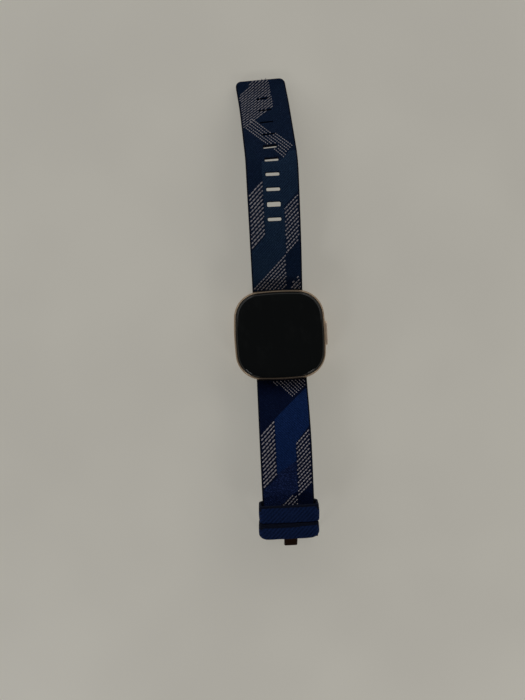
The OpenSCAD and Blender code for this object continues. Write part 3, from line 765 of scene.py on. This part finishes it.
def wrap(ob, point):
    """Keeps the flat coordinates on the mesh and moves it from the flat into its curved place."""
    co = np.array([v.co[:] for v in ob.data.vertices], np.float32)
    ob.data.attributes.new("flat", "FLOAT_VECTOR", "POINT").data.foreach_set("vector", co.ravel())
    for v in ob.data.vertices:
        v.co = point(*v.co)
    with mesh_of(ob) as bm:
        bmesh.ops.recalc_face_normals(bm, faces=bm.faces)


def open_end(ob, s):
    """Removes the faces that close the cloth at s, where it goes on in the next piece."""
    with mesh_of(ob) as bm:
        gone = [f for f in bm.faces if all(abs(v.co.y - s) < 1e-4 for v in f.verts)]
        bmesh.ops.delete(bm, geom=gone, context="FACES")


# Pattern of the cloth. Each dashed area is a convex outline in (u, s) with a style.
TAIL_AREAS = [
    ([(-EDGE_U, 4.2), (-EDGE_U, 3.3), (BAND_U, 3.3), (BAND_U, 19.6)], "dash"),
    ([(BAND_U + 0.35, 3.3), (EDGE_U, 3.3), (EDGE_U, 10.2), (BAND_U + 0.35, 4.3)], "dash"),
    ([(BAND_U, 17.6), (EDGE_U, 24.0), (EDGE_U, 45.5), (BAND_U, 39.5)], "dash"),
    ([(-EDGE_U, 20.6), (-BAND_U, 27.2), (-BAND_U, 51.6), (-EDGE_U, 45.2)], "row"),
    ([(-10.5, 76.4), (4.6, 59.2), (EDGE_U, 65.6), (-6.3, 81.9)], "dot"),
    ([(-10.6, 76.9), (BAND_U - 0.2, 86.4), (BAND_U - 0.2, 102.2), (-3.2, 102.2), (-10.6, 95.2)], "dense"),
]
BUCKLE_AREAS = [
    ([(-4.9, 3.4), (10.4, 3.4), (10.4, 6.4), (4.0, 12.2)], "dot"),
    ([(-EDGE_U, 27.0), (-BAND_U, 20.1), (-BAND_U, 46.0), (-EDGE_U, 51.5)], "row"),
    ([(BAND_U, 31.6), (EDGE_U, 24.6), (EDGE_U, 49.6), (BAND_U, 55.2)], "dash"),
    ([(BAND_U - 0.1, 52.4), (BAND_U - 0.1, 64.0), (-9.5, 64.0), (-9.9, 63.2)], "dash"),
]
# style: row spacing, pitch along a row, length and width of a float, slope of the rows
STYLES = {"row": (1.3, 1.9, 1.8, 0.54, 1.0), "dash": (1.3, 1.42, 1.2, 0.52, 1.0),
          "dot": (1.28, 1.05, 0.76, 0.44, -1.15), "dense": (1.05, 2.1, 2.04, 0.32, 0.69)}
FLOAT_H, SHORTEST_FLOAT = 0.13, 0.4
BORDER_ROOM, SLOT_ROOM, TRIM_STEP = 0.12, 0.5, 0.06


def middle(area):
    return [sum(p[k] for p in area) / len(area) for k in (0, 1)]


def inside(area, u, s):
    """How far (u, s) lies inside a convex outline; negative is outside."""
    best = 99.0
    cx, cy = middle(area)
    for (x0, y0), (x1, y1) in zip(area, area[1:] + area[:1]):
        nx, ny = y1 - y0, x0 - x1
        d = ((u - x0) * nx + (s - y0) * ny) / math.hypot(nx, ny)
        if (cx - x0) * nx + (cy - y0) * ny < 0:
            d = -d
        best = min(best, d)
    return best


def near_slot(u, s, reach):
    """Whether (u, s) is in a slot or within reach of it; a slot that is nearly shut reaches less far."""
    for i in range(SLOT_COUNT):
        du = max(0.0, abs(u) - (SLOT_L - slot_width(i)) / 2)
        near = reach if slot_width(i) > 1 else 0.3 * reach
        if math.hypot(du, s - FIRST_SLOT - i * SLOT_PITCH) < slot_width(i) / 2 + near:
            return True
    return False


def add_float(bm, layer, u, s, way, length, width, point):
    """One raised float of yarn: a small pillow, plumper in its middle."""
    tall = FLOAT_H * random.uniform(0.85, 1.15)
    rings = []
    for height, grow in ((-0.06, 1.0), (0.45 * tall, 0.94), (0.85 * tall, 0.7), (tall, 0.38)):
        ring = []
        for k in range(10):
            a = 2 * math.pi * k / 10
            x = (length / 2 - width / 2 * (1 - grow)) * math.copysign(abs(math.cos(a)) ** 0.75, math.cos(a))
            y = width / 2 * grow * math.sin(a)
            place = (u + x * way[0] - y * way[1], s + x * way[1] + y * way[0], HALF_T + height)
            v = bm.verts.new(point(*place))
            v[layer] = Vector(place)
            ring.append(v)
        rings.append(ring)
    skin(bm, rings, first=False)


def clear_part(area, u, s, way, half, slots):
    """The stretch of a float, from -half to half along way, that is clear of the borders and the slots."""
    def clear(k):
        at = (u + way[0] * k, s + way[1] * k)
        return inside(area, *at) >= BORDER_ROOM and not (slots and near_slot(*at, SLOT_ROOM))

    lo, hi = -half, half
    while lo < hi and not clear(lo):
        lo += TRIM_STEP
    while hi > lo and not clear(hi):
        hi -= TRIM_STEP
    return lo, hi


def make_floats(name, areas, s0, s1, point, up, slots):
    """All the pale floats between s0 and s1. up is +1 where s grows towards +Y, -1 where it falls."""
    bm = bmesh.new()
    layer = bm.verts.layers.float_vector.new("flat")
    for area, style in areas:
        spacing, pitch, length, width, slope = STYLES[style]
        way = Vector((1, slope * up)).normalized()
        cu, cs = middle(area)
        reach = max(math.hypot(p[0] - cu, p[1] - cs) for p in area)
        rows, steps = int(reach / spacing) + 1, int(reach / pitch) + 1
        half = length / 2
        for i in range(-rows, rows + 1):
            shift = pitch / 2 if i % 2 and style != "dot" else 0.0
            for j in range(-steps, steps + 1):
                t = j * pitch + shift
                u = cu + way[0] * t - way[1] * i * spacing + random.uniform(-0.05, 0.05)
                s = cs + way[1] * t + way[0] * i * spacing + random.uniform(-0.05, 0.05)
                spots = [(u + way[0] * k, s + way[1] * k) for k in (-half, 0, half)]
                if not s0 <= s < s1 or not any(inside(area, *spot) > BORDER_ROOM for spot in spots):
                    continue
                lo, hi = clear_part(area, u, s, way, half, slots)
                mid = (lo + hi) / 2
                u, s = u + way[0] * mid, s + way[1] * mid
                if hi - lo < SHORTEST_FLOAT or slots and near_slot(u, s, 0.9 * SLOT_ROOM):
                    continue
                add_float(bm, layer, u, s, way, hi - lo, width * random.uniform(0.92, 1.08), point)
    return add_piece(name, bm, ["thread"])


# Where colours change: s on the tail; u, s and slope on the buckle strap. The left strip's change lies
# under its dashes on both.
TAIL_CHANGES = (30, 59, 63)
BUCKLE_CHANGES = ((-10.0, 26.6, -0.93), (-BAND_U, 44.4, -0.63))
TAIL_LEFT_CHANGE, BUCKLE_LEFT_CHANGE = 35, 40


def tail_colour(u, s):
    side_from, middle_to, side_to = TAIL_CHANGES
    if abs(u) > EDGE_U:
        return "edge"
    if any(inside(area, u, s) > 0 for area, _ in TAIL_AREAS):
        return "tail_navy"
    if u < -BAND_U:
        return "tail_mid" if s < TAIL_LEFT_CHANGE else "tail_navy"
    if u < BAND_U:
        return "tail_mid" if s < middle_to else "tail_navy"
    return "tail_mid" if side_from < s < side_to else "tail_navy"


def buckle_colour(u, s):
    if abs(u) > EDGE_U:
        return "edge"
    if any(inside(area, u, s) > 0 for area, _ in BUCKLE_AREAS):
        return "woven_face"
    first, second = (s0 + slope * (u - u0) for u0, s0, slope in BUCKLE_CHANGES)
    if u < -BAND_U:
        return "woven_face" if s < BUCKLE_LEFT_CHANGE else "flecked"
    if u > BAND_U:
        return "mid" if first < s < second else "woven_face"
    return "woven_face" if s < first else "mid" if s < second else "flecked"


def border_lines(areas):
    """The slanting borders of the areas, as (u, s, du, ds)."""
    return [(x0, y0, x1 - x0, y1 - y0) for area, _ in areas
            for (x0, y0), (x1, y1) in zip(area, area[1:] + area[:1]) if abs(x1 - x0) > 3 and abs(y1 - y0) > 1]


STRIP_LINES = [(u, 0, 0, 1) for u in (-EDGE_U, -BAND_U, BAND_U, EDGE_U)]
TAIL_LINES = STRIP_LINES + [(0, s, 1, 0) for s in TAIL_CHANGES] + border_lines(TAIL_AREAS)
BUCKLE_LINES = STRIP_LINES + [(u, s, 1, slope) for u, s, slope in BUCKLE_CHANGES] + border_lines(BUCKLE_AREAS)


def cloth_piece(name, section, s0, s1, point, lines, colour, mats, slots, end_cutter=None, open_at=None):
    """A slab of cloth with its slots, end and colours, in its curved place. The last of mats is its edge."""
    ob = flat_slab(name, section, s0, s1)
    if slots:
        carve(ob, [join(slot_cutters(s0, s1))])
    if end_cutter:
        carve(ob, end_cutter())
    split_along(ob, lines)

    def choose(u, s, n, normal):
        on_top = normal.z > 0.6 or n > 0.9
        at_slot = slots and near_slot(u, s, 0.28)
        return colour(u, s) if on_top and not at_slot else mats[-1]

    paint(ob, mats, choose)
    if open_at:
        open_end(ob, open_at)
    wrap(ob, point)
    return sharp_above(ob, 50)


def make_tail():
    cut = FIRST_SLOT + 2.5 * SLOT_PITCH
    halves = [("a", FITTING_L, cut, ("tail_root", "tail_middle"), TAIL_JOINTS[0], None,
               ["tail_root_face", "tail_middle_face"]),
              ("b", cut, TAIL_L + TIP_SPARE, ("tail_middle", "tail_tip"), TAIL_JOINTS[1], tip_cutter,
               ["tail_tip_face"])]
    for tag, s0, s1, bodies, joint, end_cutter, nodes in halves:
        face = cloth_piece("tail_face_" + tag, face_section(), s0, s1, tail_point, TAIL_LINES, tail_colour,
                           ["tail_navy", "tail_mid", "edge"], True, end_cutter, cut)
        lining = cloth_piece("tail_lining_" + tag, lining_section(), s0, s1, tail_point, [],
                             lambda u, s: "strap_lining", ["strap_lining"], True, end_cutter, cut)
        dashes = make_floats("tail_dashes_" + tag, TAIL_AREAS, s0, s1, tail_point, 1, True)
        start = tail_point(0, joint - BEND_REACH, 0)
        end = tail_point(0, joint + BEND_REACH, 0)
        for ob in (face, lining, dashes):
            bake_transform(ob)
        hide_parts(*nodes)
        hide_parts(*[n.replace("face", "lining") for n in nodes])


def make_buckle_strap():
    s0, s1 = FITTING_L, BUCKLE_L
    face = cloth_piece("buckle_face", face_section(), s0, s1, buckle_point, BUCKLE_LINES, buckle_colour,
                       ["woven_face", "mid", "flecked", "edge"], False, notch_cutter)
    lining = cloth_piece("buckle_lining", lining_section(), s0, s1, buckle_point, [],
                         lambda u, s: "strap_lining", ["strap_lining"], False, notch_cutter)
    dashes = make_floats("buckle_dashes", BUCKLE_AREAS, s0, s1, buckle_point, -1, False)
    start = buckle_point(0, BUCKLE_JOINT - BEND_REACH, 0)
    end = buckle_point(0, BUCKLE_JOINT + BEND_REACH, 0)
    for ob in (face, lining, dashes):
        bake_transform(ob)
    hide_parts("buckle_root_face", "buckle_end_face")
    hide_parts("buckle_root_lining", "buckle_end_lining")


def make_fold():
    """Where the cloth turns round the buckle's bar, on both sides of the tang."""
    bm = bmesh.new()
    layer = bm.verts.layers.float_vector.new("flat")
    steps = 14
    x_in, x_out = NOTCH_W / 2, STRAP_W / 2
    for side in (-1, 1):
        rings = []
        for x, soft in ((x_in, 0.3), (x_in + 0.1, 0.1), (x_in + 0.3, 0.0), (8.0, 0.0), (x_out - 0.4, 0.0),
                        (x_out - 0.12, 0.12), (x_out, 0.4)):
            outer = [(HALF_T - soft, 90 - 180 * i / steps) for i in range(steps + 1)]
            inner = [(BAR_R + 0.03, a) for _, a in reversed(outer)]
            ring = []
            for r, a in outer + inner:
                c, d = r * math.cos(math.radians(a)), r * math.sin(math.radians(a))
                v = bm.verts.new(buckle_point(side * x, BUCKLE_L + c, d))
                v[layer] = Vector((side * x, BUCKLE_L + math.radians(90 - a) * r, r))
                ring.append(v)
            rings.append(ring)
        skin(bm, rings)
    ob = sharp_above(add_piece("strap_fold", bm, ["edge"]), 50)
    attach(ob, "buckle_end")


# -------- keepers

def keeper_loop(low):
    """Middle of a keeper's band, seen along the strap, with outward directions: (u, n, du, dn, distance)."""
    w, h, r = KEEPER_W - KEEPER_T, KEEPER_TOP - low + KEEPER_T, 1.35
    x, y = w / 2 - r, h / 2 - r
    corners = [(x, y), (-x, y), (-x, -y), (x, -y)]
    points = []
    for k, (steps, (cx, cy)) in enumerate(zip((3, 24, 3, 10), corners)):
        corner = arc(cx, cy, r, 90 * k, 90, 8, False)
        before = arc(*corners[k - 1], r, 90 * k, 0, 1, False)[0]
        points += np.linspace(before, corner[0], steps, endpoint=False).tolist() + corner
    mid = (low + KEEPER_TOP) / 2
    points = [(u, n + mid - (KEEPER_ARCH * (2 * u / w) ** 2 if n > y + 1e-6 else 0.0)) for u, n in points]
    out, run = [], 0.0
    for i in range(len(points)):
        (ua, na), (ub, nb) = points[i - 1], points[(i + 1) % len(points)]
        length = math.hypot(ub - ua, nb - na)
        if i:
            run += math.dist(points[i], points[i - 1])
        out.append((*points[i], (nb - na) / length, -(ub - ua) / length, run))
    return out


def keeper_section(length):
    """Across the band: (along the strap, outwards), with soft edges and finer steps on its outside."""
    half, r = KEEPER_T / 2, 0.42
    t, d = length - r, half - r
    pts = []
    for k, (ct, cd) in enumerate(((t, d), (r, d), (r, -d), (t, -d))):
        pts += arc(ct, cd, r, 90 * k, 90, 4)
        if k == 0:
            pts += [(t + (r - t) * i / 14, half) for i in range(1, 14)]
        if k == 2:
            pts += [(r + (t - r) * i / 6, -half) for i in range(1, 6)]
    return pts


def make_keeper(name, node, body, start, length, low, rounded, binding_and_shade, shift=0.0):
    """A band of folded cloth round the strap; rounded gives the far corners' radii (left, right) and
    binding the width of the dark edge at both sides: a dark binding, widened as painted shade of the gap
    under the keeper's edge."""
    bm = bmesh.new()
    layer = bm.verts.layers.float_vector.new("flat")
    rings = []
    for u, n, du, dn, run in keeper_loop(low):
        end = length
        for side, r in zip((-1, 1), rounded):
            over = side * u - (KEEPER_W / 2 - r)
            if r and over > 0:
                end = length - r + math.sqrt(max(r * r - over * over, 0.0))
        if rounded[0]:
            end = min(end, length - WALL_STOP * smooth((KEEPER_TOP - n) / 0.9))
        sag = 0.05 * math.sin(u * 0.9 + start) if n > 1 else 0.0
        ring = []
        for t, d in keeper_section(end):
            full = KEEPER_BULGE * math.sin(math.pi * t / length) if d > 0 and dn > -0.5 else 0.0
            out = d + full - KEEPER_SINK
            v = bm.verts.new(buckle_point(shift + u + du * out, start + t + sag * t / length, n + dn * out))
            v[layer] = Vector((run, t, d))
            ring.append(v)
        rings.append(ring)
    skin(bm, rings, joined=True)
    ob = add_piece(name, bm, ["keeper_fabric", "edge"])
    flat = ob.data.attributes["flat"].data
    for f in ob.data.polygons:
        _, t, d = sum((flat[i].vector for i in f.vertices), Vector()) / len(f.vertices)
        ear = abs(f.center.x) / MM > KEEPER_W / 2 - 1.3 and t < 2.2
        # the dark band is a binding on the keeper's edge, widened towards the left as painted shade of the
        # gap under it
        dark_band_end = binding_and_shade[0] + (binding_and_shade[1] - binding_and_shade[0]) * (f.center.x / MM / KEEPER_W + 0.5)
        f.material_index = 1 if t < dark_band_end or d < 0.1 or ear else 0
    sharp_above(ob, 60)
    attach(ob, body)
    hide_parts(node)


# -------- buckle

_, BAR_Y, BAR_Z = buckle_point(0, BUCKLE_L, 0) / MM


def hung(angle, x, l, h):
    """A point on a part that hangs from the buckle's bar, turned down by angle."""
    a = math.radians(-angle)
    return in_mm(x, BAR_Y - l * math.cos(a) + h * math.sin(a), BAR_Z + l * math.sin(a) + h * math.cos(a))


def eye(bm, angle, x0, x1, r_out):
    """A ring round the bar, with rounded edges."""
    r_in, soft = BAR_R + 0.05, 0.22
    profile = [(x0, r_in), (x0, r_out - soft), (x0 + 0.3 * soft, r_out - 0.3 * soft), (x0 + soft, r_out),
               (x1 - soft, r_out), (x1 - 0.3 * soft, r_out - 0.3 * soft), (x1, r_out - soft), (x1, r_in)]
    steps = 32
    skin(bm, [[bm.verts.new(hung(angle, x, r * math.cos(a), r * math.sin(a))) for x, r in profile]
              for a in (2 * math.pi * i / steps for i in range(steps))], joined=True)


def make_frame():
    """A wire-like U with flattened legs, an end bar and an eye at each end."""
    angle = math.degrees(math.asin((BAR_Z - END_BAR_R) / FRAME_L))
    xc, rc = FRAME_IN_W / 2 + LEG_W / 2, FRAME_CORNER
    half = [(xc, LEG_START + (FRAME_L - rc - LEG_START) * i / 8, 0.0) for i in range(9)]
    for i in range(1, 9):
        a = math.radians(90 * i / 8)
        half.append((xc - rc + rc * math.cos(a), FRAME_L - rc + rc * math.sin(a), 90 * i / 8))
    half += [(x, FRAME_L, 90.0) for x in (8.0, 5.5, 3.0, 1.0)]
    path = half + [(-x, l, 180 - a) for x, l, a in reversed(half)]
    loops = []
    for x, l, a in path:
        out = (math.cos(math.radians(a)), math.sin(math.radians(a)))
        w = LEG_W - 0.06 + (END_BAR_W - LEG_W) * out[1]
        thick = 2 * LEG_HALF_T - 0.06 + 0.12 * out[1]
        loops.append([hung(angle, x + out[0] * p, l + out[1] * p, q)
                      for p, q in rounded_rect(w, thick, min(w, thick) / 2 - 0.08, 4)])
    bm = bmesh.new()
    loop_skin(bm, loops)
    for side in (-1, 1):
        x = sorted((side * FRAME_IN_W / 2, side * (FRAME_IN_W / 2 + LEG_W)))
        eye(bm, angle, *x, FRAME_EYE_R)
    ob = sharp_above(add_piece("buckle_hoop", bm, ["buckle_metal"]), 45)
    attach(ob, "buckle_frame")
    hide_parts("buckle_frame")


def make_tang():
    """A flat blade with a rounded end, that hangs from its own eye and is a little wider past its root."""
    half, r = TANG_W / 2 - 0.04, TANG_END_R
    loops = []
    spots = [0.85, 2.0, 4.0, 6.0, 8.0, 9.6] + [TANG_L - r + r * math.sin(math.radians(a))
                                                for a in (0, 18, 36, 54, 70, 82, 89)]
    for l in spots:
        over = max(0.0, l - (TANG_L - r)) / r
        past_root = smooth((l - 2.5) / 2)
        w = 2 * (half + BLADE_WIDER * past_root - r * (1 - math.sqrt(max(0.0, 1 - over * over))))
        thick = 2 * TANG_HALF_T * (1 - 0.25 * over * over)
        xc = TANG_SHIFT + BLADE_SHIFT * past_root
        loops.append([hung(TANG_ANGLE, xc + x, l, h) for x, h in rounded_rect(w, thick, 0.36 * thick, 5)])
    bm = bmesh.new()
    loop_skin(bm, loops)
    eye(bm, TANG_ANGLE, TANG_SHIFT - half, TANG_SHIFT + half, TANG_EYE_R)
    ob = sharp_above(add_piece("tang_blade", bm, ["buckle_metal"]), 45)
    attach(ob, "buckle_tang")
    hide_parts("buckle_tang")


def soften_frame_parts():
    """Small rounded edges on the machined and moulded parts that keep their CAD shape."""
    widths = {"back_cover": 0.25, "tail_end_fitting": 0.12, "buckle_end_fitting": 0.12, "buckle_bar": 0.12,
              "tail_release_pin": 0.08, "buckle_release_pin": 0.08, "back_screws": 0.08,
              "charging_contacts": 0.12, "sensor_window": 0.2, "tail_bar_tube": 0.08, "buckle_bar_tube": 0.08}
    for node, width in widths.items():
        bevelled(frame["nodes"][node], width, 3)


make_case()
make_glass()
make_button()
make_tail()
make_buckle_strap()
make_fold()
make_keeper("loose_keeper_band", "free_keeper", "free_keeper", FREE_START, FREE_L, -HALF_T - GAP, (0, 0),
            (1.1, 0.8))
make_keeper("sewn_keeper_band", "sewn_keeper", "buckle_end", SEWN_START, SEWN_L, -HALF_T, (3.4, 3.7),
            (1.9, 1.3), -0.35)
make_frame()
make_tang()
soften_frame_parts()


# -------- floor, light and camera

def make_floor():
    sh = Shader("pale_table", (0.60, 0.575, 0.53), 0.45)
    mm = sh.object_mm()
    cloud = sh.noise(mm, 0.012, 2.0)
    base = sh.mix(sh.span(cloud, 0.3, 0.7), (0.585, 0.56, 0.495), (0.615, 0.59, 0.52))
    sh.link("Base Color", base)
    sh.link("Emission Color", base)
    sh.set("Emission Strength", 0.4)
    bm = bmesh.new()
    reach = 3.0
    corners = ((-reach, -reach), (reach, -reach), (reach, reach), (-reach, reach))
    bm.faces.new([bm.verts.new((x, y, 0)) for x, y in corners])
    mesh = bpy.data.meshes.new("table_top")
    bm.to_mesh(mesh)
    bm.free()
    mesh.materials.append(sh.mat)
    ob = bpy.data.objects.new("table_top", mesh)
    scene.collection.objects.link(ob)


def add_light(name, location, size, power, colour):
    """A rectangular lamp that faces the watch."""
    data = bpy.data.lights.new(name, "AREA")
    data.shape = "RECTANGLE"
    data.size, data.size_y = size
    data.energy = power
    data.color = colour
    ob = bpy.data.objects.new(name, data)
    ob.location = location
    ob.rotation_euler = (-Vector(location)).to_track_quat("-Z", "Y").to_euler()
    scene.collection.objects.link(ob)


def make_light_and_camera():
    world = bpy.data.worlds.new("studio")
    world.use_nodes = True
    background = world.node_tree.nodes["Background"]
    background.inputs["Color"].default_value = (0.92, 0.95, 1.0, 1)
    background.inputs["Strength"].default_value = 0.05
    scene.world = world
    warm, cool = (1.0, 0.98, 0.945), (0.95, 0.97, 1.0)
    large, small = (2.6, 1.1), (0.24, 0.14)
    add_light("left_box", (-1.55, 1.3, 0.8), large, 9.5, cool)
    add_light("right_box", (1.55, 1.3, 0.8), large, 9.5, warm)
    add_light("back_box", (0.05, 2.1, 0.85), large, 6.0, warm)
    add_light("front_left", (-0.5, -0.62, 0.38), small, 0.75, cool)
    add_light("front_right", (0.42, -0.68, 0.38), small, 0.6, warm)
    data = bpy.data.cameras.new("camera")
    data.lens, data.sensor_width = 27.04, 36.0
    data.clip_start = 0.01
    camera = bpy.data.objects.new("camera", data)
    camera.location = (-0.0080, -0.0063, 0.241)
    camera.rotation_euler = (0, 0, math.radians(-2.8))
    scene.collection.objects.link(camera)
    scene.camera = camera
    scene.view_settings.view_transform = "Standard"


make_floor()
make_light_and_camera()

bpy.context.view_layer.update()
